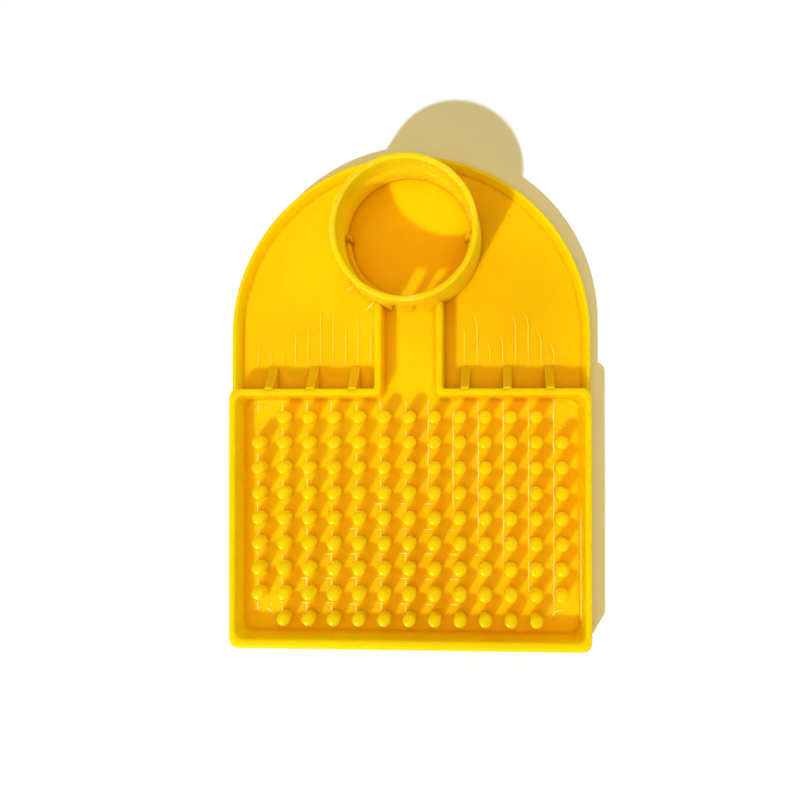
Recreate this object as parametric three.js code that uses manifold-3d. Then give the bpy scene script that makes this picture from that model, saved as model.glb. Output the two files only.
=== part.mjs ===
/*
 * Hive entrance feeder: a shallow peg tray that slips into a hive doorway, a round socket
 * behind it that takes the neck of an upturned bottle, and an open channel that carries the
 * syrup from the socket to the tray. The real article is one injection moulding. Each moulded
 * feature is a body of its own here and meets its neighbours on flat faces.
 *
 * Millimetres, Z up, X across the tray, Y from the tray towards the socket. The origin is the
 * middle of the underside.
 */

import * as THREE from 'three';
import { mergeVertices } from 'three/addons/utils/BufferGeometryUtils.js';
import Module from 'manifold-3d';

const wasm = await Module();
wasm.setup();

// Plan: a straight-sided tray, a short straight run of deck, then a half circle
const OVERALL_WIDTH = 84.0;
const TRAY_LENGTH = 60.5;
const DECK_STRAIGHT = 12.5;

// Heights above the underside
const PLATE_TOP = 1.5;
const DECK_RIM_TOP = 5.2;
const TRAY_RIM_TOP = 9.0;
const SOCKET_RIM_TOP = 24.5;
const PEG_TIP = 7.8;
const SEAT_TOP = 7.0;
const WINDOW_TOP = 15.0;
const RIB_TOP = 8.6;

// Tray walls: thickness at the rim and at the foot, the inner faces lean out for release
const SIDE_WALL_RIM = 1.5;
const SIDE_WALL_FOOT = 2.2;
const FRONT_WALL_RIM = 2.3;
const FRONT_WALL_FOOT = 3.0;
const TRAY_CORNER = 2.2;
const TRAY_INNER_CORNER = 1.6;

// Peg bed
const PEG_PITCH = 5.9;
const PEG_WALL_CLEARANCE = 2.0;
const PEG_FOOT_RADIUS = 1.55;
const PEG_TIP_RADIUS = 1.4;
const PEG_DOME_RADIUS = 0.85;
const PEG_SHOULDER_DROP = 0.55;
const PEG_DOME_DROP = 0.12;

// Channel between the socket and the tray
const CHANNEL_FLOOR_WIDTH = 12.2;
const CHANNEL_MOUTH_WIDTH = 12.6;
const CHANNEL_WALL_RIM = 1.6;
const CHANNEL_WALL_FOOT = 2.1;
const CHANNEL_END_TO_SOCKET = 1.0;

// Raised rim round the deck
const DECK_RIM_WIDTH = 0.9;
const DECK_RIM_FOOT = 1.9;

// Bottle socket, placed from the back edge of the deck
const SOCKET_FROM_BACK = 19.5;
const SOCKET_FOOT_RADIUS = 17.0;
const SOCKET_RIM_RADIUS = 16.3;
const BORE_FOOT_RADIUS = 14.85;
const BORE_MOUTH_RADIUS = 15.0;
const SEAT_RADIUS = 13.7;
const SEAT_NUB_RADIUS = 1.1;
const SEAT_NUB_SET_BACK = 0.3;

// Outlet window in the front of the socket and the post that divides it
const WINDOW_WIDTH = 8.4;
const POST_WIDTH = 2.0;
const POST_DEPTH = 1.6;
const POST_SETBACK = 0.5;
const POST_EDGE_RADIUS = 0.4;

// Gusset ribs that brace the back wall of the tray
const RIB_THICKNESS = 2.0;
const RIB_REACH = 5.6;
const RIBS_PER_SIDE = 3;
const RIB_TO_CHANNEL = 4.85;
const RIB_TO_DECK_RIM = 7.45;

// Rounded lips of the walls and of the socket's mouth
const TRAY_LIP = 0.5;
const DECK_LIP = 0.3;
const MOUTH_LIP = 0.3;
const SOCKET_LIP = 0.25;

// Small allowance that carries a cutter past the face it cuts
const CUT_PAST = 1.0;

// Facet counts and surface finish
const ARCH_SEGMENTS = 64;
const CORNER_SEGMENTS = 6;
const SOCKET_SEGMENTS = 96;
const NUB_SEGMENTS = 16;
const LIP_SEGMENTS = 2;
const PEG_SEGMENTS = 10;
const PLASTIC_COLOUR = 0xfbc200;
const PLASTIC_ROUGHNESS = 0.34;

// Positions derived from the sizes above, Y measured from the middle of the part
const HALF_WIDTH = OVERALL_WIDTH / 2;
const OVERALL_LENGTH = TRAY_LENGTH + DECK_STRAIGHT + HALF_WIDTH;
const FRONT_EDGE = -OVERALL_LENGTH / 2;
const BACK_EDGE = OVERALL_LENGTH / 2;
const TRAY_BACK = FRONT_EDGE + TRAY_LENGTH;
const ARCH_CENTRE = TRAY_BACK + DECK_STRAIGHT;
const SOCKET_CENTRE = BACK_EDGE - SOCKET_FROM_BACK;
const CHANNEL_BACK = SOCKET_CENTRE - SOCKET_FOOT_RADIUS - CHANNEL_END_TO_SOCKET;
const CHANNEL_FOOT_HALF = CHANNEL_FLOOR_WIDTH / 2 + CHANNEL_WALL_FOOT;
const CHANNEL_RIM_HALF = CHANNEL_MOUTH_WIDTH / 2 + CHANNEL_WALL_RIM;
const FRONT_CUT = FRONT_EDGE + FRONT_WALL_FOOT + TRAY_INNER_CORNER;
const BACK_CUT = TRAY_BACK - SIDE_WALL_FOOT - TRAY_INNER_CORNER;

/** Turns a three.js geometry into a closed body that can be joined and cut. */
function body(geometry) {
  const bare = geometry.clone();
  bare.deleteAttribute('normal');
  bare.deleteAttribute('uv');
  const welded = mergeVertices(bare);
  return new wasm.Manifold(new wasm.Mesh({
    numProp: 3,
    vertProperties: new Float32Array(welded.attributes.position.array),
    triVerts: new Uint32Array(welded.index.array),
  }));
}

/** Box given by its lower and upper corners. */
function box(x0, y0, z0, x1, y1, z1) {
  const geometry = new THREE.BoxGeometry(x1 - x0, y1 - y0, z1 - z0);
  geometry.translate((x0 + x1) / 2, (y0 + y1) / 2, (z0 + z1) / 2);
  return body(geometry);
}

/** Upright prism of an outline seen from above. */
function prism(outline, z0, z1) {
  const geometry = new THREE.ExtrudeGeometry(outline, {
    depth: z1 - z0,
    bevelEnabled: false,
    curveSegments: CORNER_SEGMENTS,
  });
  geometry.translate(0, 0, z0);
  return geometry;
}

/** Upright body whose outline is stretched from one rectangle to the next, level by level. */
function lofted(outline, levels) {
  const steps = levels.length - 1;
  const geometry = new THREE.ExtrudeGeometry(outline, {
    depth: steps,
    steps,
    bevelEnabled: false,
    curveSegments: CORNER_SEGMENTS,
  });
  const place = geometry.attributes.position;
  const base = levels[0].rect;
  const map = (value, a0, a1, b0, b1) => b0 + (value - a0) * (b1 - b0) / (a1 - a0);
  for (let i = 0; i < place.count; i += 1) {
    const { z, rect } = levels[Math.round(place.getZ(i))];
    const x = map(place.getX(i), base.x0, base.x1, rect.x0, rect.x1);
    const y = map(place.getY(i), base.y0, base.y1, rect.y0, rect.y1);
    place.setXYZ(i, x, y, z);
  }
  return body(geometry);
}

/** Rectangle grown by the same length on all four sides. */
function grown(rect, by) {
  return { x0: rect.x0 - by, y0: rect.y0 - by, x1: rect.x1 + by, y1: rect.y1 + by };
}

/** Rectangle round the arched end of the deck, for an arch of a given radius. */
function archRectangle(radius) {
  return { x0: -radius, y0: ARCH_CENTRE, x1: radius, y1: ARCH_CENTRE + radius };
}

/** Points [distance, height] of a rounded lip, from the face of a wall over to its flat rim. */
function lipPoints(face, rim, radius, side) {
  return Array.from({ length: LIP_SEGMENTS + 1 }, (_, step) => {
    const turn = Math.PI / 2 * step / LIP_SEGMENTS;
    return [face + side * radius * (1 - Math.cos(turn)), rim - radius * (1 - Math.sin(turn))];
  });
}

/** Rectangle with a corner radius at the front corners and another at the back corners. */
function roundedRectangle(x0, y0, x1, y1, front, back) {
  const outline = new THREE.Shape();
  outline.moveTo(x0 + front, y0);
  outline.lineTo(x1 - front, y0);
  outline.absarc(x1 - front, y0 + front, front, -Math.PI / 2, 0, false);
  outline.lineTo(x1, y1 - back);
  if (back > 0) {
    outline.absarc(x1 - back, y1 - back, back, 0, Math.PI / 2, false);
  }
  outline.lineTo(x0 + back, y1);
  if (back > 0) {
    outline.absarc(x0 + back, y1 - back, back, Math.PI / 2, Math.PI, false);
  }
  outline.lineTo(x0, y0 + front);
  outline.absarc(x0 + front, y0 + front, front, Math.PI, 3 * Math.PI / 2, false);
  return outline;
}

/** Outline of the deck: straight sides behind the tray, then a half circle. */
function archOutline(radius, start) {
  const outline = new THREE.Shape();
  outline.moveTo(-radius, start);
  outline.lineTo(radius, start);
  for (let i = 0; i <= ARCH_SEGMENTS; i += 1) {
    const turn = Math.PI * i / ARCH_SEGMENTS;
    outline.lineTo(radius * Math.cos(turn), ARCH_CENTRE + radius * Math.sin(turn));
  }
  outline.closePath();
  return outline;
}

/** Body of revolution about the upright axis of the socket. */
function turned(profile) {
  const points = profile.map(([radius, height]) => new THREE.Vector2(radius, height));
  const geometry = new THREE.LatheGeometry(points, SOCKET_SEGMENTS);
  geometry.rotateX(Math.PI / 2);
  geometry.translate(0, SOCKET_CENTRE, 0);
  return body(geometry);
}

/** Radius of a drafted face of the socket at a given height, from its foot to its rim. */
function drafted(foot, rim, height) {
  return foot + (rim - foot) * (height - PLATE_TOP) / (SOCKET_RIM_TOP - PLATE_TOP);
}

/** Outer radius of the socket at a given height. */
function outerRadius(height) {
  return drafted(SOCKET_FOOT_RADIUS, SOCKET_RIM_RADIUS, height);
}

/** Radius of the bore at a given height. */
function boreRadius(height) {
  return drafted(BORE_FOOT_RADIUS, BORE_MOUTH_RADIUS, height);
}

/** One domed peg standing on the tray floor. */
function peg(x, y) {
  const points = [
    [0, PLATE_TOP / 2],
    [PEG_FOOT_RADIUS, PLATE_TOP / 2],
    [PEG_FOOT_RADIUS, PLATE_TOP],
    [PEG_TIP_RADIUS, PEG_TIP - PEG_SHOULDER_DROP],
    [PEG_DOME_RADIUS, PEG_TIP - PEG_DOME_DROP],
    [0, PEG_TIP],
  ].map(([radius, height]) => new THREE.Vector2(radius, height));
  const geometry = new THREE.LatheGeometry(points, PEG_SEGMENTS);
  geometry.rotateX(Math.PI / 2);
  geometry.translate(x, y, 0);
  return body(geometry);
}

/** Most pegs that fit from the middle of the tray towards a wall face, the middle one left out. */
function pegsTowards(wallFace) {
  return Math.floor((wallFace - PEG_WALL_CLEARANCE - PEG_FOOT_RADIUS) / PEG_PITCH);
}

/** Tray floor with its pegs: a full grid that leaves out the four corner places. */
function trayFloor() {
  const outline = roundedRectangle(-HALF_WIDTH, FRONT_EDGE, HALF_WIDTH, TRAY_BACK, TRAY_CORNER, 0);
  const parts = [body(prism(outline, 0, PLATE_TOP))];
  const middle = (FRONT_EDGE + TRAY_BACK) / 2;
  const thickest = Math.max(FRONT_WALL_FOOT, SIDE_WALL_FOOT);
  const across = pegsTowards(HALF_WIDTH - SIDE_WALL_FOOT);
  const along = pegsTowards(TRAY_LENGTH / 2 - thickest);
  for (let row = -along; row <= along; row += 1) {
    for (let column = -across; column <= across; column += 1) {
      if (Math.abs(row) < along || Math.abs(column) < across) {
        parts.push(peg(column * PEG_PITCH, middle + row * PEG_PITCH));
      }
    }
  }
  return wasm.Manifold.union(parts);
}

/** Body along Y with a section that is the same left and right, given as [half width, height]. */
function channelSection(halves, y0, y1) {
  const right = halves.map(([half, z]) => new THREE.Vector2(half, z));
  const left = halves.map(([half, z]) => new THREE.Vector2(-half, z)).reverse();
  const geometry = new THREE.ExtrudeGeometry(new THREE.Shape([...right, ...left]), {
    depth: y1 - y0,
    bevelEnabled: false,
  });
  geometry.rotateX(Math.PI / 2);
  geometry.translate(0, y1, 0);
  return body(geometry);
}

/** The channel with its walls, before the inside is cut out. */
function channelBlock(y0, y1) {
  return channelSection([
    [CHANNEL_FOOT_HALF, PLATE_TOP],
    ...lipPoints(CHANNEL_RIM_HALF, TRAY_RIM_TOP, TRAY_LIP, -1),
  ], y0, y1);
}

/** The open inside of the channel, carried past the rim. */
function channelSpace(y0, y1) {
  const rimHalf = CHANNEL_MOUTH_WIDTH / 2;
  return channelSection([
    [CHANNEL_FLOOR_WIDTH / 2, PLATE_TOP],
    ...lipPoints(rimHalf, TRAY_RIM_TOP, TRAY_LIP, 1),
    [rimHalf + TRAY_LIP, TRAY_RIM_TOP + CUT_PAST],
  ], y0, y1);
}

/** Closed ring of tray walls before it is divided into the separate walls. */
function trayWallRing() {
  const outer = { x0: -HALF_WIDTH, y0: FRONT_EDGE, x1: HALF_WIDTH, y1: TRAY_BACK };
  const foot = {
    x0: outer.x0 + SIDE_WALL_FOOT,
    y0: outer.y0 + FRONT_WALL_FOOT,
    x1: outer.x1 - SIDE_WALL_FOOT,
    y1: outer.y1 - SIDE_WALL_FOOT,
  };
  const rim = {
    x0: outer.x0 + SIDE_WALL_RIM,
    y0: outer.y0 + FRONT_WALL_RIM,
    x1: outer.x1 - SIDE_WALL_RIM,
    y1: outer.y1 - SIDE_WALL_RIM,
  };
  const inner = TRAY_INNER_CORNER;
  const rounded = roundedRectangle(outer.x0, outer.y0, outer.x1, outer.y1, TRAY_CORNER, TRAY_CORNER);
  const square = roundedRectangle(outer.x0, outer.y0, outer.x1, outer.y1, TRAY_CORNER, 0);
  const pocket = roundedRectangle(foot.x0, foot.y0, foot.x1, foot.y1, inner, inner);
  const lip = (rect, side) => lipPoints(0, TRAY_RIM_TOP, TRAY_LIP, side)
    .map(([by, z]) => ({ z, rect: grown(rect, by) }));
  return lofted(rounded, [{ z: PLATE_TOP, rect: outer }, ...lip(outer, -1)])
    .add(body(prism(square, PLATE_TOP, DECK_RIM_TOP)))
    .add(channelBlock(TRAY_BACK - TRAY_LIP, TRAY_BACK))
    .subtract(lofted(pocket, [
      { z: PLATE_TOP, rect: foot },
      ...lip(rim, 1),
      { z: TRAY_RIM_TOP + CUT_PAST, rect: grown(rim, TRAY_LIP) },
    ]));
}

/** Part of a body between two levels of Y and two of X. */
function slice(solid, x0, x1, y0, y1) {
  return solid.intersect(box(x0, y0, -CUT_PAST, x1, y1, SOCKET_RIM_TOP + CUT_PAST));
}

/** The tray walls as separate bodies: front, left, right, and the back wall in two lengths. */
function trayWalls() {
  const ring = trayWallRing();
  const far = HALF_WIDTH + CUT_PAST;
  const back = slice(ring, -far, far, BACK_CUT, TRAY_BACK + CUT_PAST)
    .subtract(channelSpace(BACK_CUT - CUT_PAST, TRAY_BACK + CUT_PAST));
  return {
    tray_front_wall: slice(ring, -far, far, FRONT_EDGE - CUT_PAST, FRONT_CUT),
    tray_left_wall: slice(ring, -far, 0, FRONT_CUT, BACK_CUT),
    tray_right_wall: slice(ring, 0, far, FRONT_CUT, BACK_CUT),
    tray_back_wall_left: slice(back, -far, 0, BACK_CUT - CUT_PAST, TRAY_BACK + CUT_PAST),
    tray_back_wall_right: slice(back, 0, far, BACK_CUT - CUT_PAST, TRAY_BACK + CUT_PAST),
  };
}

/** Floor of the deck in three flat plates: one each side and the strip under the channel. */
function deckPlates() {
  const plate = body(prism(archOutline(HALF_WIDTH, TRAY_BACK), 0, PLATE_TOP));
  const far = HALF_WIDTH + CUT_PAST;
  const end = BACK_EDGE + CUT_PAST;
  return {
    deck_left: slice(plate, -far, -CHANNEL_FOOT_HALF, TRAY_BACK, end),
    deck_right: slice(plate, CHANNEL_FOOT_HALF, far, TRAY_BACK, end),
    channel_floor: slice(plate, -CHANNEL_FOOT_HALF, CHANNEL_FOOT_HALF, TRAY_BACK, end),
  };
}

/** Raised rim round the arch of the deck, in a left and a right half. */
function deckRims() {
  const start = TRAY_BACK - CUT_PAST;
  const footRadius = HALF_WIDTH - DECK_RIM_FOOT;
  const rimRadius = HALF_WIDTH - DECK_RIM_WIDTH;
  const level = ([radius, z]) => ({ z, rect: archRectangle(radius) });
  const outside = lofted(archOutline(HALF_WIDTH, start), [
    [HALF_WIDTH, PLATE_TOP],
    ...lipPoints(HALF_WIDTH, DECK_RIM_TOP, DECK_LIP, -1),
  ].map(level));
  const inside = lofted(archOutline(footRadius, start), [
    [footRadius, PLATE_TOP],
    ...lipPoints(rimRadius, DECK_RIM_TOP, DECK_LIP, 1),
    [rimRadius + DECK_LIP, DECK_RIM_TOP + CUT_PAST],
  ].map(level));
  const rim = outside.subtract(inside);
  const far = HALF_WIDTH + CUT_PAST;
  const end = BACK_EDGE + CUT_PAST;
  return {
    deck_rim_left: slice(rim, -far, 0, TRAY_BACK, end),
    deck_rim_right: slice(rim, 0, far, TRAY_BACK, end),
  };
}

/** The two channel walls, from the back of the tray to just before the socket. */
function channelWalls() {
  const far = HALF_WIDTH;
  const walls = channelBlock(TRAY_BACK, CHANNEL_BACK)
    .subtract(channelSpace(TRAY_BACK - CUT_PAST, CHANNEL_BACK + CUT_PAST));
  return {
    channel_left_wall: slice(walls, -far, 0, TRAY_BACK, CHANNEL_BACK),
    channel_right_wall: slice(walls, 0, far, TRAY_BACK, CHANNEL_BACK),
  };
}

/** The outlet window, an upright opening through the front of the socket wall. */
function outletWindow() {
  const half = WINDOW_WIDTH / 2;
  const reach = SOCKET_CENTRE - SEAT_RADIUS / 2;
  return box(-half, CHANNEL_BACK - CUT_PAST, PLATE_TOP - CUT_PAST, half, reach, WINDOW_TOP);
}

/** Half ring inside the front of the socket that the bottle mouth rests on, with end nubs. */
function bottleSeat() {
  const outer = (outerRadius(SEAT_TOP) + boreRadius(SEAT_TOP)) / 2;
  const ring = turned([
    [SEAT_RADIUS, PLATE_TOP],
    [outer, PLATE_TOP],
    [outer, SEAT_TOP],
    [SEAT_RADIUS, SEAT_TOP],
    [SEAT_RADIUS, PLATE_TOP],
  ]);
  const far = HALF_WIDTH;
  const half = slice(ring, -far, far, SOCKET_CENTRE - far, SOCKET_CENTRE);
  const nubs = [-1, 1].map((side) => {
    const height = SEAT_TOP - PLATE_TOP;
    const geometry = new THREE.CylinderGeometry(
      SEAT_NUB_RADIUS, SEAT_NUB_RADIUS, height, NUB_SEGMENTS);
    geometry.rotateX(Math.PI / 2);
    const x = side * (SEAT_RADIUS + SEAT_NUB_SET_BACK);
    geometry.translate(x, SOCKET_CENTRE, PLATE_TOP + height / 2);
    return body(geometry);
  });
  return wasm.Manifold.union([half, ...nubs]);
}

/** Lower part of the socket: wall, seat and the ends of the channel walls that run into it. */
function socketBase() {
  const reach = SOCKET_CENTRE;
  const top = TRAY_RIM_TOP;
  const wall = turned([
    [BORE_FOOT_RADIUS, PLATE_TOP],
    [SOCKET_FOOT_RADIUS, PLATE_TOP],
    [outerRadius(top), top],
    [boreRadius(top), top],
    [BORE_FOOT_RADIUS, PLATE_TOP],
  ]);
  const run = channelBlock(CHANNEL_BACK, reach)
    .subtract(channelSpace(CHANNEL_BACK - CUT_PAST, reach + CUT_PAST));
  const bore = turned([
    [0, PLATE_TOP - CUT_PAST],
    [BORE_FOOT_RADIUS, PLATE_TOP - CUT_PAST],
    [BORE_FOOT_RADIUS, PLATE_TOP],
    [boreRadius(top), top],
    [boreRadius(top), top + CUT_PAST],
    [0, top + CUT_PAST],
  ]);
  return wall.add(run.subtract(bore)).add(bottleSeat()).subtract(outletWindow());
}

/** Upper part of the socket, with rounded lips outside and inside its mouth. */
function socketTube() {
  const foot = TRAY_RIM_TOP;
  return turned([
    [boreRadius(foot), foot],
    [outerRadius(foot), foot],
    ...lipPoints(SOCKET_RIM_RADIUS, SOCKET_RIM_TOP, SOCKET_LIP, -1),
    ...lipPoints(BORE_MOUTH_RADIUS, SOCKET_RIM_TOP, MOUTH_LIP, 1).reverse(),
    [boreRadius(foot), foot],
  ]).subtract(outletWindow());
}

/** Post that stands in the middle of the outlet window, within the thickness of the wall. */
function outletPost() {
  const half = POST_WIDTH / 2;
  const front = SOCKET_CENTRE - SOCKET_FOOT_RADIUS + POST_SETBACK;
  const edge = POST_EDGE_RADIUS;
  const outline = roundedRectangle(-half, front, half, front + POST_DEPTH, edge, edge);
  return body(prism(outline, PLATE_TOP, WINDOW_TOP));
}

/** One triangular rib behind the tray, centred on a given X. */
function gussetRib(x) {
  const outline = new THREE.Shape();
  outline.moveTo(TRAY_BACK, PLATE_TOP);
  outline.lineTo(TRAY_BACK + RIB_REACH, PLATE_TOP);
  outline.lineTo(TRAY_BACK, RIB_TOP);
  outline.closePath();
  const geometry = new THREE.ExtrudeGeometry(outline, {
    depth: RIB_THICKNESS,
    bevelEnabled: false,
  });
  geometry.rotateX(Math.PI / 2);
  geometry.rotateZ(Math.PI / 2);
  geometry.translate(x - RIB_THICKNESS / 2, 0, 0);
  return body(geometry);
}

/** All ribs, counted from the left, spread evenly between the channel and the deck rim. */
function gussetRibs() {
  const first = CHANNEL_FOOT_HALF + RIB_TO_CHANNEL;
  const last = HALF_WIDTH - DECK_RIM_FOOT - RIB_TO_DECK_RIM;
  const spacing = (last - first) / (RIBS_PER_SIDE - 1);
  const places = Array.from({ length: RIBS_PER_SIDE }, (_, step) => first + step * spacing);
  const all = [...places.map((x) => -x).reverse(), ...places];
  return Object.fromEntries(all.map((x, i) => [`gusset_rib_${i + 1}`, gussetRib(x)]));
}

/** Makes a named mesh with its own plastic material from a closed body. */
function meshOf(name, solid) {
  const { vertProperties, triVerts, numProp } = solid.getMesh();
  const place = new Float32Array(vertProperties.length / numProp * 3);
  for (let i = 0; i < place.length / 3; i += 1) {
    for (let axis = 0; axis < 3; axis += 1) {
      place[i * 3 + axis] = vertProperties[i * numProp + axis];
    }
  }
  const geometry = new THREE.BufferGeometry();
  geometry.setAttribute('position', new THREE.BufferAttribute(place, 3));
  geometry.setIndex(new THREE.BufferAttribute(new Uint32Array(triVerts), 1));
  geometry.computeVertexNormals();
  const material = new THREE.MeshStandardMaterial({
    color: PLASTIC_COLOUR,
    roughness: PLASTIC_ROUGHNESS,
    metalness: 0,
  });
  const mesh = new THREE.Mesh(geometry, material);
  mesh.name = name;
  return mesh;
}

const solids = {
  tray_floor: trayFloor(),
  ...trayWalls(),
  ...deckPlates(),
  ...deckRims(),
  ...channelWalls(),
  socket_base: socketBase(),
  socket_tube: socketTube(),
  outlet_post: outletPost(),
  ...gussetRibs(),
};

const group = new THREE.Group();
group.name = 'hive_entrance_feeder';
Object.entries(solids).forEach(([name, solid]) => group.add(meshOf(name, solid)));

export default group;
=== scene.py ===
"""Hive entrance feeder: one yellow moulding with a peg tray, a syrup channel and a bottle socket."""

import logging
import math
from dataclasses import dataclass, field
from enum import Enum

import bpy
import numpy as np
from mathutils import Matrix, Vector
from mathutils.geometry import delaunay_2d_cdt


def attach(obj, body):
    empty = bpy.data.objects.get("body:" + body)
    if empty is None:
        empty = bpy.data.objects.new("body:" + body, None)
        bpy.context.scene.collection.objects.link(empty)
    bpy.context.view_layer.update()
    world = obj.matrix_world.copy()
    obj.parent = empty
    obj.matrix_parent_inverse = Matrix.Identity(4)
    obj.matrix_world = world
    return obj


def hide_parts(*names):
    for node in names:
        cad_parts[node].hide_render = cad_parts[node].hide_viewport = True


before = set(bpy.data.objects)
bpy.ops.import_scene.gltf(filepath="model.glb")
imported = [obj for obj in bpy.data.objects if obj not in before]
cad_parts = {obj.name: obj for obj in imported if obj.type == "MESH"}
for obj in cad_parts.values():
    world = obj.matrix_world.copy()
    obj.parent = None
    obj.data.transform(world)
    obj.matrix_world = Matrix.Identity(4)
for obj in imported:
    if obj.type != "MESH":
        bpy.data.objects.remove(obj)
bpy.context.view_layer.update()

MM = 0.001
LOG = logging.getLogger("hive_entrance_feeder")
Piece = bpy.types.Object
Material = bpy.types.Material
Socket = bpy.types.NodeSocket


# Shared sizes


@dataclass(frozen=True)
class Plan:
    """Sizes in millimetres that several pieces share, Y measured from the middle of the part."""

    half_width: float = 42.0
    front_edge: float = -57.5
    tray_back: float = 3.0
    arch_centre: float = 15.5
    channel_end: float = 24.2
    plate_top: float = 1.5
    plate_inset: float = 1.0
    hidden: float = 1.3
    bottom_round: float = 0.2
    tray_rim: float = 9.0
    deck_rim: float = 5.2
    tray_corner: float = 2.2
    socket_centre: float = 38.0
    socket_foot: float = 17.0
    window_half: float = 4.2
    window_top: float = 15.0
    peg_pitch: float = 5.9
    peg_middle: float = -27.25
    peg_columns: int = 13
    peg_rows: int = 9

    @property
    def under(self) -> float:
        """Level inside the plate to which the standing pieces reach down."""
        return self.plate_top - self.hidden

    @property
    def columns(self) -> np.ndarray:
        """X of each column of pegs."""
        return (np.arange(self.peg_columns) - (self.peg_columns - 1) / 2) * self.peg_pitch

    @property
    def rows(self) -> np.ndarray:
        """Y of each row of pegs, from the front."""
        steps = np.arange(self.peg_rows) - (self.peg_rows - 1) / 2
        return self.peg_middle + steps * self.peg_pitch


PLAN = Plan()

# Sweeps of a rounded edge in degrees: from the upright face to the level one, and back
FACE_TO_TOP = (0, 90)
TOP_TO_FACE = (90, 0)


# Mesh building


def arc(start: float, end: float, steps: int) -> np.ndarray:
    """Evenly spaced angles from start to end, given in degrees and returned in radians."""
    return np.radians(np.linspace(start, end, steps))


def lifted(path: np.ndarray, height: np.ndarray) -> np.ndarray:
    """Plan points (n, 2) and a height, one for all or one each, as points (n, 3)."""
    return np.column_stack([path, np.broadcast_to(height, len(path))])


def rounding(corner: tuple, reach: tuple, sweep: tuple, steps: int) -> np.ndarray:
    """Arc at a corner (x, z) of reach (p, q): x + p(1 - cos a), z + q(1 - sin a), a in degrees."""
    turn = arc(*sweep, steps)
    return np.stack([1 - np.cos(turn), 1 - np.sin(turn)], 1) * reach + corner


def all_round(count: int) -> np.ndarray:
    """Evenly spaced turns once round, in radians."""
    return np.linspace(0, 2 * math.pi, count, endpoint=False)


def turned(section: np.ndarray, turn: np.ndarray) -> np.ndarray:
    """Section (r, z) turned round the Z axis through each turn t: (r cos t, r sin t, z)."""
    radius, height = section[:, :1], section[:, 1:]
    return np.stack([radius * np.cos(turn), radius * np.sin(turn), height + 0 * turn], -1)


def rounded_path(corners: list, radii: list, arc_steps: int, run_steps: int) -> np.ndarray:
    """Plan path through corner points with every inner corner rounded.

    At each corner the runs u and v leave at twice the half angle h. The arc of radius r has its
    centre r / sin(h) along the bisector and touches the runs r / tan(h) from the corner.

    Args:
        corners: Points (x, y), ends included.
        radii: One radius for each inner corner.
        arc_steps: Stations on each arc.
        run_steps: Stations on each straight run.

    Returns:
        Array (stations, 2); paths with the same counts match station by station.
    """
    points = np.asarray(corners, float)
    parts, start = [], points[0]
    share = np.linspace(0, 1, run_steps, endpoint=False)[:, None]
    for before, at, after, radius in zip(points[:-2], points[1:-1], points[2:], radii):
        u = (before - at) / np.linalg.norm(before - at)
        v = (after - at) / np.linalg.norm(after - at)
        half = 0.5 * math.acos(float(np.clip(u @ v, -1, 1)))
        a, b = at + u * radius / math.tan(half), at + v * radius / math.tan(half)
        centre = at + (u + v) / np.linalg.norm(u + v) * radius / math.sin(half)
        first = math.atan2(*(a - centre)[::-1])
        turn = (math.atan2(*(b - centre)[::-1]) - first + math.pi) % (2 * math.pi) - math.pi
        angle = first + turn * np.linspace(0, 1, arc_steps, endpoint=False)
        parts.append(start + (a - start) * share)
        parts.append(centre + radius * np.stack([np.cos(angle), np.sin(angle)], 1))
        start = b
    parts.append(start + (points[-1] - start) * np.linspace(0, 1, run_steps)[:, None])
    return np.concatenate(parts)


def grid_faces(rows: int, columns: int, loop_rows: bool, loop_columns: bool) -> np.ndarray:
    """Quads of a grid of points counted row by row.

    Args:
        rows: Number of rows.
        columns: Points in a row.
        loop_rows: Whether the last row joins the first.
        loop_columns: Whether the last point of a row joins the first.

    Returns:
        Array (faces, 4) of point numbers, with rows first.
    """
    r = np.arange(rows if loop_rows else rows - 1)[:, None]
    c = np.arange(columns if loop_columns else columns - 1)[None, :]
    r1, c1 = (r + 1) % rows, (c + 1) % columns
    quads = np.stack([r * columns + c, r * columns + c1, r1 * columns + c1, r1 * columns + c], -1)
    return quads.reshape(-1, 4)


def placed(name: str, data: bpy.types.ID) -> Piece:
    """Makes an object that shows a mesh, a lamp or a camera.

    Args:
        name: Its name.
        data: What it shows.

    Returns:
        The object, in the scene.
    """
    made = bpy.data.objects.new(name, data)
    bpy.context.scene.collection.objects.link(made)
    return made


def moulding(name: str, shells: list, sharp: float = 40.0) -> Piece:
    """Makes the object of one piece, with its place in its mesh.

    Each shell is turned so that its faces point outwards, by the sign of its volume.

    Args:
        name: Name of the piece.
        shells: Points (n, 3) in millimetres and faces of each closed shell.
        sharp: Angle in degrees past which an edge stays crisp.

    Returns:
        The object, in metres.
    """
    loops, count = [], 0
    for points, faces in shells:
        rows = [list(map(int, face)) for face in faces]
        fans = np.array([(f[0], f[i], f[i + 1]) for f in rows for i in range(1, len(f) - 1)])
        a, b, c = (points[fans[:, k]] for k in range(3))
        inside_out = float(np.einsum("ij,ij->i", a, np.cross(b, c)).sum()) < 0
        loops += [[i + count for i in (f[::-1] if inside_out else f)] for f in rows]
        count += len(points)
    mesh = bpy.data.meshes.new(name)
    mesh.from_pydata((np.concatenate([points for points, _ in shells]) * MM).tolist(), [], loops)
    mesh.update()
    mesh.polygons.foreach_set("use_smooth", np.ones(len(mesh.polygons), bool))
    mesh.set_sharp_from_angle(angle=math.radians(sharp))
    return placed(name, mesh)


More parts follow.
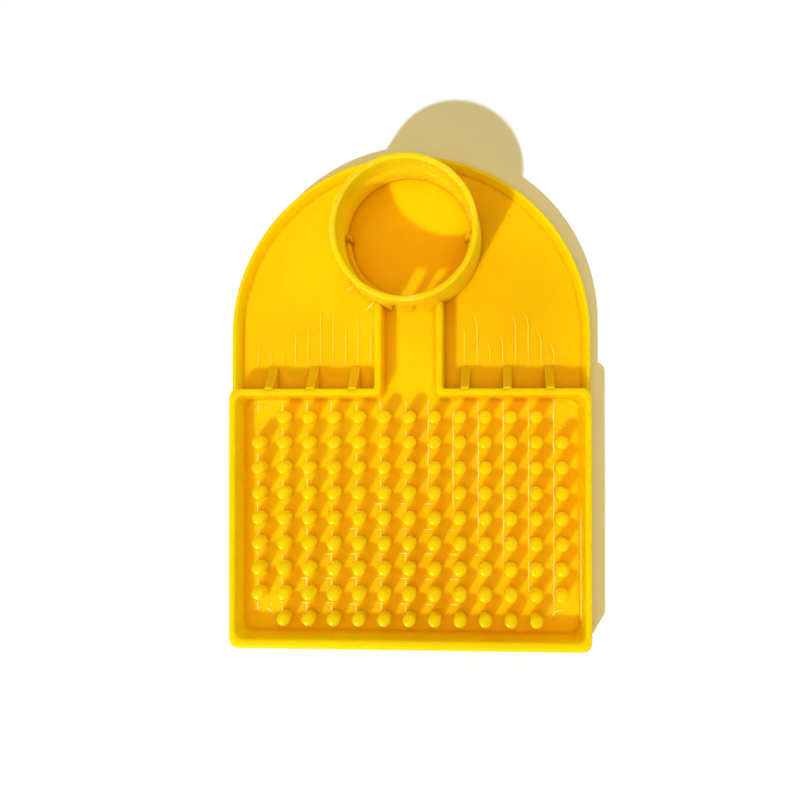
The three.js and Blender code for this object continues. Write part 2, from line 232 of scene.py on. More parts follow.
def rail_sweep(rows: np.ndarray) -> tuple:
    """Closed shell of a profile carried along an open path.

    Args:
        rows: Array (profile points, stations, 3); the profile is a loop and both ends get a cap.

    Returns:
        Points and faces.
    """
    profile, stations = rows.shape[:2]
    faces = grid_faces(profile, stations, True, False).tolist()
    first = (np.arange(profile) * stations).tolist()
    last = (np.arange(profile) * stations + stations - 1).tolist()
    return rows.reshape(-1, 3), faces + [first, last[::-1]]


def ring_stack(rings: np.ndarray, high: np.ndarray, low: np.ndarray | None = None) -> tuple:
    """Shell of rings stacked on each other, closed by poles.

    Args:
        rings: Array (rings, points, 3).
        high: Pole over the last ring.
        low: Pole under the first ring, or none for a shell that is open there.

    Returns:
        Points and faces.
    """
    count, around = rings.shape[:2]
    here, top = np.arange(around), (count - 1) * around
    after = (here + 1) % around
    poles = [high] if low is None else [low, high]
    points = np.concatenate([rings.reshape(-1, 3), poles])
    faces = grid_faces(count, around, False, True).tolist()
    if low is not None:
        faces += np.stack([after, here, np.full(around, count * around)], 1).tolist()
    faces += np.stack([top + here, top + after, np.full(around, len(points) - 1)], 1).tolist()
    return points, faces


def ellipsoid(middle: np.ndarray, axes: np.ndarray, bands: int, around: int) -> tuple:
    """Closed shell of middle + A cos u cos t + B cos u sin t + C sin u.

    Args:
        middle: The middle.
        axes: Half axes A, B and C as rows.
        bands: Number of lifts u between the poles.
        around: Number of turns t.

    Returns:
        Points and faces.
    """
    lift = arc(-60, 60, bands)
    sphere = turned(np.stack([np.cos(lift), np.sin(lift)], 1), all_round(around))
    return ring_stack(middle + sphere @ axes, middle + axes[2], middle - axes[2])


def joined_shell(rows: np.ndarray, notch: np.ndarray) -> tuple:
    """Closed shell of a section carried along an open path, filled to a floor and a bottom.

    The first row bounds the floor and the last row the bottom. Both run across the gap between
    the path's ends along the points of the notch, and upright faces close that gap.

    Args:
        rows: Array (section points, stations, 3).
        notch: Plan points (n, 2) from the path's end back to its start, possibly none.

    Returns:
        Points, the floor's face and all other faces, all turned outwards.
    """
    depth, stations = rows.shape[:2]
    size, count = depth * stations, len(notch)
    points = np.concatenate([rows.reshape(-1, 3), lifted(notch, rows[0, 0, 2]),
                             lifted(notch, rows[-1, 0, 2])])
    base, end = size - stations, stations - 1
    high = [end, *range(size, size + count), 0]
    low = [base + end, *range(size + count, size + 2 * count), base]
    floor = list(range(end, -1, -1)) + high[-2:0:-1]
    bottom = list(range(base, size)) + low[1:-1]
    sides = [[high[i], high[i + 1], low[i + 1], low[i]] for i in range(count + 1)]
    column = np.arange(1, depth - 1) * stations
    sides[-1][2:2] = column.tolist()
    sides[0] += (column + end)[::-1].tolist()
    others = grid_faces(depth, stations, False, False).tolist() + [bottom] + sides
    return points, floor[::-1], [face[::-1] for face in others]


def pierced_floor(outline: np.ndarray, holes: np.ndarray) -> np.ndarray:
    """Triangles of a flat floor with holes, by a Delaunay triangulation that keeps every edge.

    A triangle is dropped where its three corners lie on one hole, or where a ray from its middle
    along X crosses the outline an even number of times.

    Args:
        outline: Array (points, 2).
        holes: Array (holes, points, 2), each hole convex.

    Returns:
        Array (triangles, 3) of point numbers, the outline's first and then each hole's.
    """
    flat = np.concatenate([outline, holes.reshape(-1, 2)])
    owner = np.concatenate([np.full(len(outline), -1),
                            np.repeat(np.arange(len(holes)), holes.shape[1])])
    loops = [np.flatnonzero(owner == k) for k in range(-1, len(holes))]
    edges = np.concatenate([np.stack([loop, np.roll(loop, -1)], 1) for loop in loops])
    hull, closest = 0, 1e-6
    _, _, triangles, origin, _, _ = delaunay_2d_cdt(
        [Vector(p) for p in flat.tolist()], edges.tolist(), [], hull, closest)
    corners = np.array([o[0] for o in origin])[np.array(triangles)]
    a, b, c = (flat[corners[:, k]] for k in range(3))
    clockwise = (b - a)[:, 0] * (c - a)[:, 1] - (b - a)[:, 1] * (c - a)[:, 0] < 0
    corners[clockwise] = corners[clockwise][:, ::-1]
    x, y = ((a + b + c) / 3).T
    p, q = outline, np.roll(outline, -1, axis=0)
    spans = (p[:, 1] > y[:, None]) != (q[:, 1] > y[:, None])
    rise = np.where(p[:, 1] == q[:, 1], 1.0, q[:, 1] - p[:, 1])
    crossing = p[:, 0] + (y[:, None] - p[:, 1]) * (q[:, 0] - p[:, 0]) / rise
    inside = (spans & (crossing > x[:, None])).sum(1) % 2 == 1
    ring = owner[corners]
    in_hole = (ring[:, 0] >= 0) & (ring[:, 0] == ring[:, 1]) & (ring[:, 1] == ring[:, 2])
    return corners[inside & ~in_hole]


# Finishes


def linear(colour: str) -> tuple:
    """Turns an sRGB hex colour into linear red, green and blue with alpha 1.

    Args:
        colour: Six hex digits after a hash sign.

    Returns:
        Four numbers.
    """
    value = np.array([int(colour[i : i + 2], 16) for i in (1, 3, 5)]) / 255
    low = value / 12.92
    high = ((value + 0.055) / 1.055) ** 2.4
    return (*np.where(value <= 0.04045, low, high).tolist(), 1.0)


def feed(tree: bpy.types.NodeTree, node: bpy.types.Node, inputs: dict) -> None:
    """Sets the inputs of a node.

    Args:
        tree: Its node tree.
        node: The node.
        inputs: Input name or number to a value, or to the output that feeds it.
    """
    for name, value in inputs.items():
        if isinstance(value, Socket):
            tree.links.new(value, node.inputs[name])
        else:
            node.inputs[name].default_value = value


def add_node(tree: bpy.types.NodeTree, kind: str, inputs: dict | None = None,
             **settings) -> bpy.types.Node:
    """Adds one node.

    Args:
        tree: Node tree that gets the node.
        kind: Blender's name of the node type.
        inputs: Its inputs, as feed takes them.
        settings: Properties of the node.

    Returns:
        The node.
    """
    node = tree.nodes.new(kind)
    for name, value in settings.items():
        setattr(node, name, value)
    feed(tree, node, inputs or {})
    return node


class Recipe:
    """Nodes of one material, hung on object coordinates and on its Principled shader."""

    def __init__(self, name: str) -> None:
        """Starts the material.

        Args:
            name: Its name.
        """
        self.material = bpy.data.materials.new(name)
        self.material.use_nodes = True
        self.tree = self.material.node_tree
        self.place = add_node(self.tree, "ShaderNodeTexCoord").outputs["Object"]

    def noise(self, size_mm: float, detail: float = 2.0) -> Socket:
        """Noise with patches of a size."""
        return add_node(self.tree, "ShaderNodeTexNoise", {
            "Vector": self.place, "Scale": 1 / (size_mm * MM), "Detail": detail}).outputs["Fac"]

    def spread(self, value: Socket, source: tuple, target: tuple = (0.0, 1.0),
               curve: str = "LINEAR") -> Socket:
        """Value carried from a source range to a target range."""
        return add_node(self.tree, "ShaderNodeMapRange", {
            "Value": value, "From Min": source[0], "From Max": source[1],
            "To Min": target[0], "To Max": target[1],
        }, interpolation_type=curve).outputs["Result"]

    def blend(self, share: Socket, first: Socket, second: tuple) -> Socket:
        """Colour between two, by the share of the second."""
        return add_node(self.tree, "ShaderNodeMix", {"Factor": share, 6: first, 7: second},
                        data_type="RGBA").outputs[2]

    def calc(self, operation: str, *values) -> Socket:
        """Result of one sum, with the values in the order of its inputs."""
        return add_node(self.tree, "ShaderNodeMath", dict(enumerate(values)),
                        operation=operation).outputs[0]

    def bump(self, height: Socket, depth_mm: float) -> Socket:
        """Normal of a surface that is raised by a height."""
        return add_node(self.tree, "ShaderNodeBump",
                        {"Height": height, "Distance": depth_mm * MM}).outputs["Normal"]

    def done(self, inputs: dict) -> Material:
        """Feeds the shader and hands over the material."""
        feed(self.tree, self.tree.nodes["Principled BSDF"], inputs)
        return self.material


class Mark(Enum):
    """What a moulded surface carries besides its plain finish."""

    PLAIN = "plain"
    CUTTER_RINGS = "cutter_rings"
    SCUFFED_GLINTING_MOUTH = "scuffed_glinting_mouth"


@dataclass(frozen=True)
class MouldedPolypropylene:
    """Injection-moulded polypropylene with a yellow master batch.

    To the eye it is a saturated warm yellow with a soft sheen: light sinks a millimetre or two into
    it, so thin walls and pegs glow on their shaded side and shadows turn orange.
    """

    name: str = "moulded_polypropylene"
    colour: str = "#FFD000"
    deep_colour: str = "#FFC600"
    mark: Mark = Mark.PLAIN
    roughness: float = 0.36
    roughness_drift: tuple = (-0.05, 0.07)
    ior: float = 1.49
    gloss: float = 0.4
    gloss_tint: tuple = (1.0, 0.86, 0.05, 1.0)
    glow_depth_mm: tuple = (2.0, 3.5, 0.5)
    flow_mm: float = 22.0
    flow_range: tuple = (0.35, 0.65)
    sheen_mm: float = 2.6
    sheen_range: tuple = (0.3, 0.7)
    grain_mm: float = 0.55
    grain_depth_mm: float = 0.010
    darker_area_colour: str = "#E4B600"
    darker_areas_mm: tuple = ()
    ring_mm: float = 0.42
    ring_share: float = 0.35
    ring_depth_mm: float = 0.022
    scuff_glint_colour: str = "#F6EC92"
    scuff_glint_levels_mm: tuple = (23.6, 24.4)
    scuff_glint_speck_mm: float = 0.32
    scuff_glint_speck_range: tuple = (0.55, 0.66)
    scuff_glint_patch_mm: float = 7.0
    scuff_glint_patch_range: tuple = (0.42, 0.62)
    scuff_roughness: float = 0.3

    def build(self) -> Material:
        """Makes the material.

        Returns:
            The material.
        """
        recipe = Recipe(self.name)
        # Flow of the melt: wide, faint changes of tone
        tone = recipe.spread(recipe.noise(self.flow_mm, detail=3.0), self.flow_range)
        colour = recipe.blend(tone, linear(self.colour), linear(self.deep_colour))
        # Deeper round areas; the one on the right deck is painted shade beside the socket's shaded
        # side
        for x, y, reach, share in self.darker_areas_mm:
            colour = self._darker_area(recipe, colour, (x * MM, y * MM, 0.0), reach * MM, share)
        # Sheen: patches where the mould was polished a little more or less
        smooth, dull = (self.roughness + drift for drift in self.roughness_drift)
        rough = recipe.spread(recipe.noise(self.sheen_mm, detail=4.0), self.sheen_range,
                              (smooth, dull))
        # Grain: the faint ripple of a spark-eroded and polished mould
        height, depth = recipe.noise(self.grain_mm, detail=3.0), self.grain_depth_mm
        if self.mark is Mark.CUTTER_RINGS:
            height, depth = self._rings(recipe, height), self.ring_depth_mm
        # Scuffs round the mouth: whitened wear and painted glints
        if self.mark is Mark.SCUFFED_GLINTING_MOUTH:
            colour, rough = self._scuffs_and_glints(recipe, colour, rough)
        return recipe.done({
            "Base Color": colour, "Roughness": rough, "Normal": recipe.bump(height, depth),
            "IOR": self.ior, "Specular Tint": self.gloss_tint, "Specular IOR Level": self.gloss,
            "Subsurface Weight": 1.0, "Subsurface Radius": self.glow_depth_mm,
            "Subsurface Scale": MM})

    def _darker_area(self, recipe: Recipe, colour: Socket, centre: tuple, reach: float,
                 share: float) -> Socket:
        """Deeper tone in a soft round area; the one on the right deck is painted shade.

        Args:
            recipe: The material's nodes.
            colour: Colour of the plain finish.
            centre: Middle of the area in metres.
            reach: Its radius in metres.
            share: How much of the deeper tone its middle takes.

        Returns:
            Colour with the area.
        """
        away = add_node(recipe.tree, "ShaderNodeVectorMath", {0: recipe.place, 1: centre},
                        operation="DISTANCE").outputs["Value"]
        amount = recipe.spread(away, (0.0, reach), (share, 0.0), "SMOOTHSTEP")
        return recipe.blend(amount, colour, linear(self.darker_area_colour))

    def _rings(self, recipe: Recipe, grain: Socket) -> Socket:
        """Turning rings on the peg tips: the sine of the distance from each peg's own axis.

        Args:
            recipe: The material's nodes.
            grain: Height of the plain grain.

        Returns:
            Height with the rings added.
        """
        parts = add_node(recipe.tree, "ShaderNodeSeparateXYZ", {0: recipe.place})
        squares = []
        for axis, middle in (("X", 0.0), ("Y", PLAN.peg_middle)):
            cell = recipe.calc("MULTIPLY_ADD", parts.outputs[axis], 1 / (PLAN.peg_pitch * MM),
                               0.5 - middle / PLAN.peg_pitch)
            off = recipe.calc("SUBTRACT", recipe.calc("FRACT", cell), 0.5)
            squares.append(recipe.calc("POWER", off, 2.0))
        reach = recipe.calc("POWER", recipe.calc("ADD", *squares), 0.5)
        wave = recipe.calc("MULTIPLY", reach, 2 * math.pi * PLAN.peg_pitch / self.ring_mm)
        return recipe.calc("MULTIPLY_ADD", recipe.calc("SINE", wave), self.ring_share, grain)

    def _scuffs_and_glints(self, recipe: Recipe, colour: Socket, rough: Socket) -> tuple:
        """Whitened, rubbed specks on the mouth of the socket, none below it: partly real scuffs and
        burrs, partly painted glints.

        Args:
            recipe: The material's nodes.
            colour: Colour of the plain finish.
            rough: Roughness of the plain finish.

        Returns:
            Colour and roughness with the scuffs and painted glints.
        """
        level = add_node(recipe.tree, "ShaderNodeSeparateXYZ", {0: recipe.place}).outputs["Z"]
        near = recipe.spread(level, tuple(z * MM for z in self.scuff_glint_levels_mm))
        fine = recipe.noise(self.scuff_glint_speck_mm, detail=5.0)
        wide = recipe.noise(self.scuff_glint_patch_mm, detail=1.0)
        specks = recipe.spread(fine, self.scuff_glint_speck_range)
        patches = recipe.spread(wide, self.scuff_glint_patch_range)
        mask = recipe.calc("MULTIPLY", recipe.calc("MULTIPLY", specks, patches), near)
        return (recipe.blend(mask, colour, linear(self.scuff_glint_colour)),
                recipe.calc("MULTIPLY_ADD", mask, self.scuff_roughness, rough))


@dataclass(frozen=True)
class TwoTone:
    """Plastic in two tones that mix in small patches, for hairlines and burnt grains.

    To the eye a hairline is paler and glossier than the skin round it and fades in and out; its
    paler tone is painted highlight for the glint along its ridge. A grain is a tiny matt fleck.
    """

    name: str
    colours: tuple
    patch_mm: float
    roughness: float
    patch_range: tuple = ()
    ior: float = 1.49

    def build(self) -> Material:
        """Makes the material.

        Returns:
            The material.
        """
        recipe = Recipe(self.name)
        share = recipe.noise(self.patch_mm)
        if self.patch_range:
            share = recipe.spread(share, self.patch_range)
        colour = recipe.blend(share, *map(linear, self.colours))
        return recipe.done({"Base Color": colour, "Roughness": self.roughness, "IOR": self.ior})


@dataclass(frozen=True)
class WhiteFloor:
    """Matt white paper-like studio floor: to the eye plain white, with the fibre barely felt."""

    name: str = "white_floor"
    colour: str = "#F0FCFC"
    fibre_mm: float = 10 / 9
    fibre_depth_mm: float = 0.01
    roughness: float = 0.9

    def build(self) -> Material:
        """Makes the material.

        Returns:
            The material.
        """
        recipe = Recipe(self.name)
        return recipe.done({
            "Base Color": linear(self.colour), "Roughness": self.roughness,
            "Specular IOR Level": 0.0,
            "Normal": recipe.bump(recipe.noise(self.fibre_mm), self.fibre_depth_mm)})


@dataclass(frozen=True)
class Finishes:
    """The materials of the object, each built once."""

    plastic: Material
    walls: Material
    pegs: Material
    socket: Material
    ribs: Material
    lines: Material
    faint_lines: Material
    specks: Material

    @classmethod
    def build(cls) -> "Finishes":
        """Makes all of them.

        Returns:
            The finishes.
        """
        fine_line = {"patch_mm": 2.6, "roughness": 0.25, "patch_range": (0.34, 0.56)}
        return cls(
            # Plain skin: warm yellow, deeper in two soft round areas: one over the lower middle of
            # the tray, and painted shade on the right deck beside the socket's shaded side
            plastic=MouldedPolypropylene(
                darker_areas_mm=((3.0, -44.0, 42.0, 0.7), (27.0, 24.0, 34.0, 0.85))).build(),
            # Thin walls: light comes through, so their shaded sides glow orange
            walls=MouldedPolypropylene(
                name="moulded_polypropylene_thin_wall", glow_depth_mm=(3.0, 8.0, 0.8)).build(),
            # Pegs: lit through to the tip, with glossy tops that show fine turning rings; their
            # paler colour is painted light that brightens their shaded sides
            pegs=MouldedPolypropylene(
                name="moulded_polypropylene_turned_tips", mark=Mark.CUTTER_RINGS,
                colour="#FFD608", deep_colour="#FFCE04", roughness=0.2,
                gloss_tint=(1.0, 0.95, 0.05, 1.0), glow_depth_mm=(20.0, 20.0, 1.0)).build(),
            # Socket: a little paler, painted light for the light its walls let in, with whitened
            # scuffs and painted glints round its mouth
            socket=MouldedPolypropylene(
                name="moulded_polypropylene_scuffed_glinting_mouth", mark=Mark.SCUFFED_GLINTING_MOUTH,
                colour="#FFD814", deep_colour="#FFD008", glow_depth_mm=(3.5, 9.0, 0.8)).build(),
            # Ribs: the palest, painted light for the light they catch on their slope and let through
            ribs=MouldedPolypropylene(
                name="moulded_polypropylene_rib", colour="#FFE024", deep_colour="#FFDC18",
                glow_depth_mm=(0.6, 0.7, 0.2)).build(),
            # Hairlines: pale and bright in the tray, hardly lighter than the skin on the decks; the
            # paler tone is painted highlight for the glint along each ridge
            lines=TwoTone("polypropylene_witness_line_glint", ("#FFCC00", "#FFF57C"), **fine_line).build(),
            faint_lines=TwoTone(
                "polypropylene_faint_line_glint", ("#FFCD06", "#FFDA28"), **fine_line).build(),
            # Burnt grains: brown-black
            specks=TwoTone(
                "scorched_polypropylene_grain", ("#2E1C06", "#6B3F08"), 0.08, 0.7).build(),
        )


def dress(piece: Piece, finish: Material, *nodes: str) -> Piece:
    """Gives a piece its finish, its body and the CAD nodes that it stands for.

    Args:
        piece: The object.
        finish: Its material.
        nodes: Names of the CAD nodes.

    Returns:
        The same object.
    """
    piece.data.materials.append(finish)
    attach(piece, "root")
    if nodes:
        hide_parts(*nodes)
    LOG.info("%s: %d faces", piece.name, len(piece.data.polygons))
    return piece


def repaint(piece: Piece, finish: Material, first: int, last: int | None = None) -> None:
    """Gives a run of a piece's faces a further finish.

    Args:
        piece: The object.
        finish: The material.
        first: Number of the first face of the run.
        last: Number after its last face, or none where it runs to the end.
    """
    piece.data.materials.append(finish)
    numbers = np.zeros(len(piece.data.polygons), np.int32)
    piece.data.polygons.foreach_get("material_index", numbers)
    numbers[first:last] = len(piece.data.materials) - 1
    piece.data.polygons.foreach_set("material_index", numbers)


def soften(piece: Piece, width_mm: float, segments: int, past: float = 50.0) -> None:
    """Rounds the crisp edges of a piece.

    Args:
        piece: The object.
        width_mm: Width of the rounding in millimetres.
        segments: Steps across it.
        past: Angle in degrees past which an edge counts as crisp.
    """
    bevel = piece.modifiers.new("edge_rounding", "BEVEL")
    bevel.width = width_mm * MM
    bevel.segments = segments
    bevel.limit_method = "ANGLE"
    bevel.angle_limit = math.radians(past)
    bevel.harden_normals = False


# Sub-assemblies


@dataclass
class Assembly:
    """A sub-assembly, built from its own sizes and dressed with the shared finishes."""

    finishes: Finishes


@dataclass
class PegBed:
    """The domed pegs that keep the bees above the syrup, with none in the four corners."""

    foot_radius: float = 1.6
    tip_radius: float = 1.54
    tip: float = 7.8
    shoulder: float = 0.36
    crown: float = 0.1
    around: int = 18

    def places(self) -> np.ndarray:
        """Plan places of the pegs.

        Returns:
            Array (pegs, 2).
        """
        x, y = np.meshgrid(PLAN.columns, PLAN.rows)
        kept = np.ones(x.shape, bool)
        kept[np.ix_((0, -1), (0, -1))] = False
        return np.stack([x[kept], y[kept]], 1)

    def shells(self) -> tuple:
        """Shells of the pegs, open at the foot, where each one grows out of the floor.

        A peg is a stack of circles. The shoulder is a quarter circle between the drafted side
        and the slightly domed tip.

        Returns:
            Points (pegs, points of one peg, 3) with the foot ring first, and one peg's faces.
        """
        shoulder = rounding((self.tip_radius, self.tip - self.crown),
                            (-self.shoulder, -self.shoulder), FACE_TO_TOP, 4)
        section = np.concatenate([[(self.foot_radius, PLAN.plate_top)], shoulder])
        one, faces = ring_stack(turned(section, all_round(self.around)), np.array([0, 0, self.tip]))
        return one + lifted(self.places(), 0.0)[:, None], faces


@dataclass
class Basin(Assembly):
    """Tray, pegs and channel in one piece: the floor and the unbroken wall round the syrup.

    Plan paths with the same stations carry the section: two rings on the floor, the inner foot,
    the inner rim, the outer rim and the outer foot.
    """

    channel_floor_half: float = 6.1
    channel_rim_half: float = 6.3
    channel_outer_rim: float = 7.9
    channel_outer_foot: float = 8.2
    side_rim: float = 1.5
    side_foot: float = 2.2
    back_rim: float = 1.65
    back_foot: float = 2.3
    front_rim: float = 2.3
    front_foot: float = 3.0
    outer_spread: float = 0.1
    foot_mouth: float = 1.6
    foot_corner: float = 3.0
    foot_corner_share: float = 0.8
    rim_radii: tuple = (1.4, 1.9, 1.9)
    outer_mouth: float = 0.5
    fillet: float = 0.95
    fillet_arc: tuple = (15, 90, 6)
    flat: float = 0.4
    lip_share: float = 0.24
    lip_steps: int = 7
    inner_shares: tuple = (0.35, 0.6, 0.8)
    outer_levels: tuple = (5.0, 2.5, PLAN.plate_top, 0.6)
    floor_rows: int = 4
    corner_steps: int = 12
    run_steps: int = 10
    pegs: PegBed = field(default_factory=PegBed)

    def path(self, channel: float, back: float, side: float, front: float,
             radii: tuple) -> np.ndarray:
        """One plan path from the left end of the channel round the tray to the right end.

        Args:
            channel: Half width of the channel at this path.
            back: Y of the back wall.
            side: Half width of the tray.
            front: Y of the front wall.
            radii: Radius at the channel mouth, at the back corners and at the front corners.

        Returns:
            Array (stations, 2).
        """
        mouth, behind, before = radii
        end = PLAN.channel_end
        corners = [(-channel, end), (-channel, back), (-side, back), (-side, front),
                   (side, front), (side, back), (channel, back), (channel, end)]
        return rounded_path(corners, [mouth, behind, before, before, behind, mouth],
                            self.corner_steps, self.run_steps)

    def foot_path(self, inwards: float) -> np.ndarray:
        """The inner foot of the wall, moved towards the middle of the floor.

        Args:
            inwards: How far, in millimetres.

        Returns:
            Array (stations, 2).
        """
        corner = self.foot_corner - self.foot_corner_share * inwards
        return self.path(self.channel_floor_half - inwards,
                         PLAN.tray_back - self.back_foot - inwards,
                         PLAN.half_width - self.side_foot - inwards,
                         PLAN.front_edge + self.front_foot + inwards,
                         (self.foot_mouth + inwards, corner, corner))

    def rows(self) -> np.ndarray:
        """Section points along the whole path.

        The foot fillet is a quarter circle of offset r(1 - sin a) and height r(1 - cos a), the
        drafted face runs straight from foot to rim, and the lip is two quarter circles whose
        radius is a fixed share of the wall's own width.

        Returns:
            Array (section points, stations, 3).
        """
        half, front, back, top = PLAN.half_width, PLAN.front_edge, PLAN.tray_back, PLAN.plate_top
        foot, floor = self.foot_path(0.0), self.foot_path(self.fillet)
        inner = self.path(self.channel_rim_half, back - self.back_rim, half - self.side_rim,
                          front + self.front_rim, self.rim_radii)
        corners = (self.outer_mouth, PLAN.tray_corner, PLAN.tray_corner)
        outer = self.path(self.channel_outer_rim, back, half, front, corners)
        base = self.path(self.channel_outer_foot, back + self.outer_spread, half, front, corners)
        width = np.linalg.norm(outer - inner, axis=1)[:, None]
        across, lip = (outer - inner) / width, self.lip_share * width
        rise = PLAN.tray_rim - top
        rows = [lifted(self.foot_path(self.fillet + self.flat), top), lifted(floor, top)]
        for a in arc(*self.fillet_arc):
            off, up = 1 - math.sin(a), self.fillet * (1 - math.cos(a))
            rows.append(lifted(off * (floor - foot) + foot + up / rise * (inner - foot), top + up))
        for share in self.inner_shares:
            rows.append(lifted(foot + share * (inner - foot), top + share * rise))
        for edge, inwards, sweep in ((inner, 1, FACE_TO_TOP), (outer, -1, TOP_TO_FACE)):
            for a in arc(*sweep, self.lip_steps):
                rows.append(np.column_stack([edge + inwards * across * lip * (1 - math.cos(a)),
                                             PLAN.tray_rim - lip * (1 - math.sin(a))]))
        return np.stack(rows + self._outside(outer, base, across))

    def _outside(self, outer: np.ndarray, base: np.ndarray, across: np.ndarray) -> list:
        """Rows of the outer face and the edge of the bottom.

        Along the tray the face is upright with a rounded bottom edge, and behind it the face
        spreads to its foot on the deck. A row mixes the two by the share of the way round the
        tray's back corner.

        Args:
            outer: Outer rim path.
            base: Outer foot path.
            across: Unit directions out of the wall.

        Returns:
            Rows, from the rim down and in under the wall.
        """
        corner_start = PLAN.tray_back - PLAN.tray_corner
        behind = np.clip((outer[:, 1] - corner_start) / PLAN.tray_corner, 0, 1)[:, None]
        low, inset = PLAN.bottom_round, PLAN.plate_inset
        moves = [(0.0, 0.0, z) for z in self.outer_levels]
        moves += [(move, 0.0, z) for move, z in rounding((0.0, 0.0), (low, low), FACE_TO_TOP, 4)]
        rows = []
        for tray_in, rear_in, z in [*moves, (inset, inset, 0.0)]:
            spread = min(1.0, (PLAN.tray_rim - z) / (PLAN.tray_rim - PLAN.plate_top))
            tray = outer - across * tray_in
            rear = outer + spread * (base - outer) - across * rear_in
            rows.append(lifted(tray * (1 - behind) + rear * behind, z))
        return rows

    def build(self) -> None:
        """Sweeps the section along the paths and lets the pegs grow out of the floor.

        The channel's end lies in the socket's wall. The wall and the pegs take the finishes for
        thin walls and for turned tips.
        """
        rows = self.rows()
        points, _, faces = joined_shell(rows, np.zeros((0, 2)))
        pegs, peg_faces = self.pegs.shells()
        count, size = pegs.shape[:2]
        starts = len(points) + size * np.arange(count)
        floor = pierced_floor(rows[0, :, :2], pegs[:, :self.pegs.around, :2])
        foot = (starts[:, None] + np.arange(self.pegs.around)).reshape(-1)
        number = np.concatenate([np.arange(rows.shape[1]), foot])
        faces += number[floor].tolist()
        plain = len(faces)
        faces += [[start + i for i in face] for start in starts.tolist() for face in peg_faces]
        shell = (np.concatenate([points, pegs.reshape(-1, 3)]), faces)
        piece = dress(moulding("basin", [shell]), self.finishes.plastic,
                      "tray_floor", "tray_front_wall", "tray_left_wall", "tray_right_wall",
                      "tray_back_wall_left", "tray_back_wall_right",
                      "channel_floor", "channel_left_wall", "channel_right_wall")
        across = rows.shape[1] - 1
        repaint(piece, self.finishes.walls, self.floor_rows * across, (len(rows) - 1) * across)
        repaint(piece, self.finishes.pegs, plain)


@dataclass
class Deck(Assembly):
    """Arched deck with its low sloping rim in one piece, and the floor inside the socket."""

    start: float = 1.2
    underside: float = 0.02
    rim_width: float = 0.92
    rim_middle: float = 3.0
    foot_width: float = 1.85
    fillet: float = 0.35
    flat: float = 0.4
    lip: float = 0.3
    notch_half: float = 6.9
    floor_rows: int = 3
    arch_steps: int = 120
    side_steps: int = 10

    def section(self) -> np.ndarray:
        """Section from the deck over the rim to the bottom, as points (distance inwards, height).

        Returns:
            Array (points, 2).
        """
        top, plate, lip, low = PLAN.deck_rim, PLAN.plate_top, self.lip, PLAN.bottom_round
        return np.concatenate([
            [(self.foot_width + self.fillet + self.flat, plate)],
            rounding((self.foot_width, plate), (self.fillet, self.fillet), (90, 20), 5),
            rounding((self.rim_width, top), (-lip, -lip), FACE_TO_TOP, 6),
            rounding((0.0, top), (lip, -lip), TOP_TO_FACE, 6),
            [(0.0, self.rim_middle), (0.0, plate)],
            rounding((0.0, self.underside), (low, low), FACE_TO_TOP, 4),
            [(PLAN.plate_inset, self.underside)]])

    def build(self) -> None:
        """Carries the section along the outline: two straight sides and a half circle.

        A section point (d, z) goes to the outer path moved inwards by d along its normal. The
        notch leaves room for the channel, whose walls stand over its edges.
        """
        half = PLAN.half_width
        turn = arc(0, 180, self.arch_steps)
        outward = np.stack([np.cos(turn), np.sin(turn)], 1)
        rise = np.linspace(self.start, PLAN.arch_centre, self.side_steps)[:-1]
        side = np.stack([np.full(len(rise), half), rise], 1)
        flank = np.broadcast_to((1.0, 0.0), side.shape)
        path = np.concatenate([side, (0, PLAN.arch_centre) + half * outward,
                               (side * (-1, 1))[::-1]])
        normal = -np.concatenate([flank, outward, flank * (-1, 1)])
        section = self.section()
        plan = path[None] + normal[None] * section[:, 0, None, None]
        level = np.broadcast_to(section[:, 1, None, None], plan.shape[:2] + (1,))
        far, near = PLAN.channel_end, self.start
        notch = np.array([(-1, near), (-1, far), (1, far), (1, near)]) * (self.notch_half, 1)
        points, floor, others = joined_shell(np.concatenate([plan, level], -1), notch)
        piece = dress(moulding("deck", [(points, [floor, *others])]), self.finishes.plastic,
                      "deck_left", "deck_right", "deck_rim_left", "deck_rim_right")
        across = len(path) - 1
        repaint(piece, self.finishes.walls, 1 + self.floor_rows * across,
                1 + (len(section) - 1) * across)


